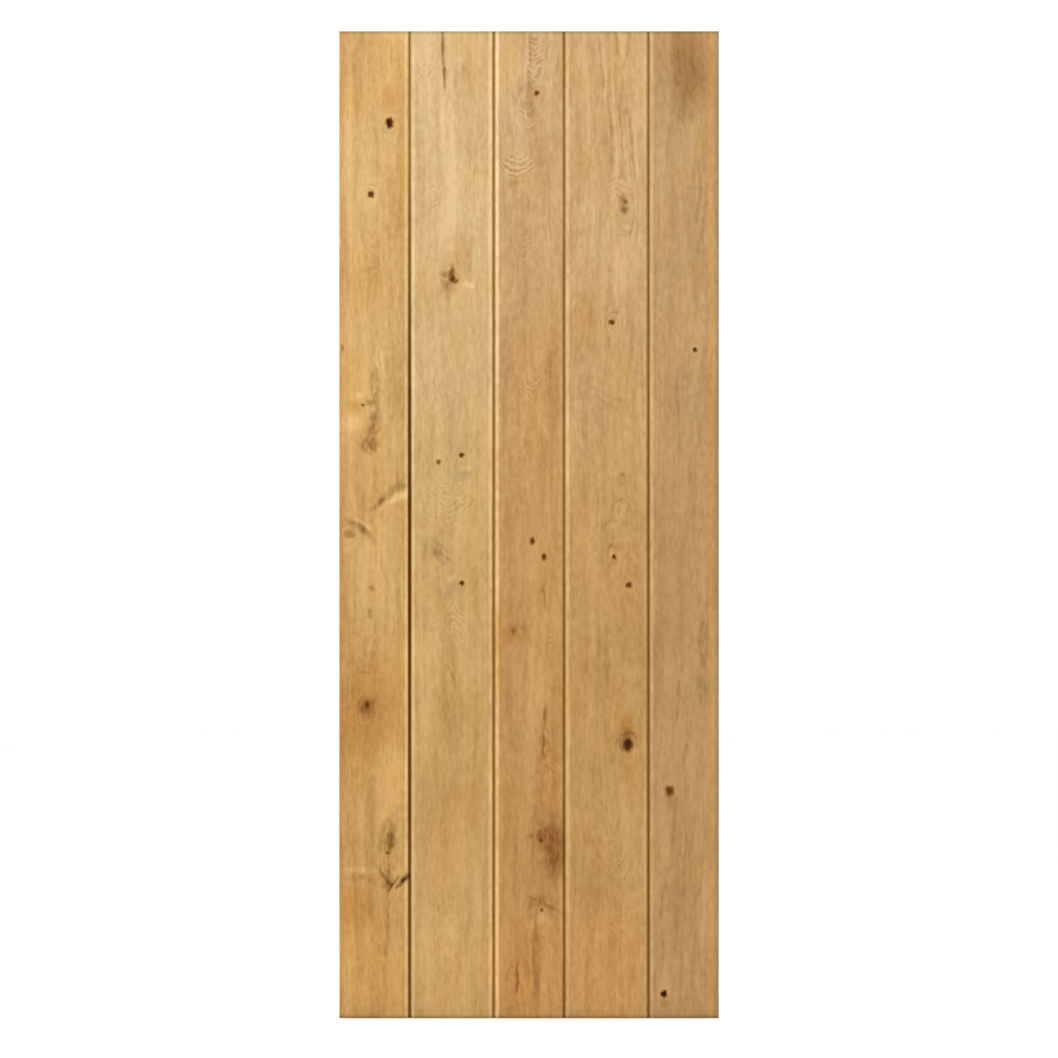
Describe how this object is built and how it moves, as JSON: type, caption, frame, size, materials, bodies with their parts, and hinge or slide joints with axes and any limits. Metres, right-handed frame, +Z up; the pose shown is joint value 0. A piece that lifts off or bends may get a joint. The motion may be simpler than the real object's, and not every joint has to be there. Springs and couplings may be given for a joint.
{
  "type": "ledged and braced door",
  "caption": "Plank door leaf of tongued V-jointed oak boards, held on the back by level ledges and by sloping braces housed into them; hung on its long hinge edge.",
  "frame": {"origin": "on the hinge edge's flat face, at its foot and halfway through the boards' thickness", "axes": "+Z up the hinge edge, +X across the door from the hinge edge to the latch edge, +Y from the face side to the ledge side"},
  "size_m": [0.762, 0.04, 1.981],
  "materials": {
    "oak_boards": "satin oiled oak, upright grain with knots",
    "oak_ledges": "satin oiled oak, level grain",
    "oak_braces": "satin oiled oak, grain along the brace"
  },
  "bodies": {
    "root": {"board_1": "oak_boards", "board_2": "oak_boards", "board_3": "oak_boards", "board_4": "oak_boards", "board_5": "oak_boards", "bottom_ledge": "oak_ledges", "middle_ledge": "oak_ledges", "top_ledge": "oak_ledges", "lower_brace": "oak_braces", "upper_brace": "oak_braces"}
  },
  "joints": []
}
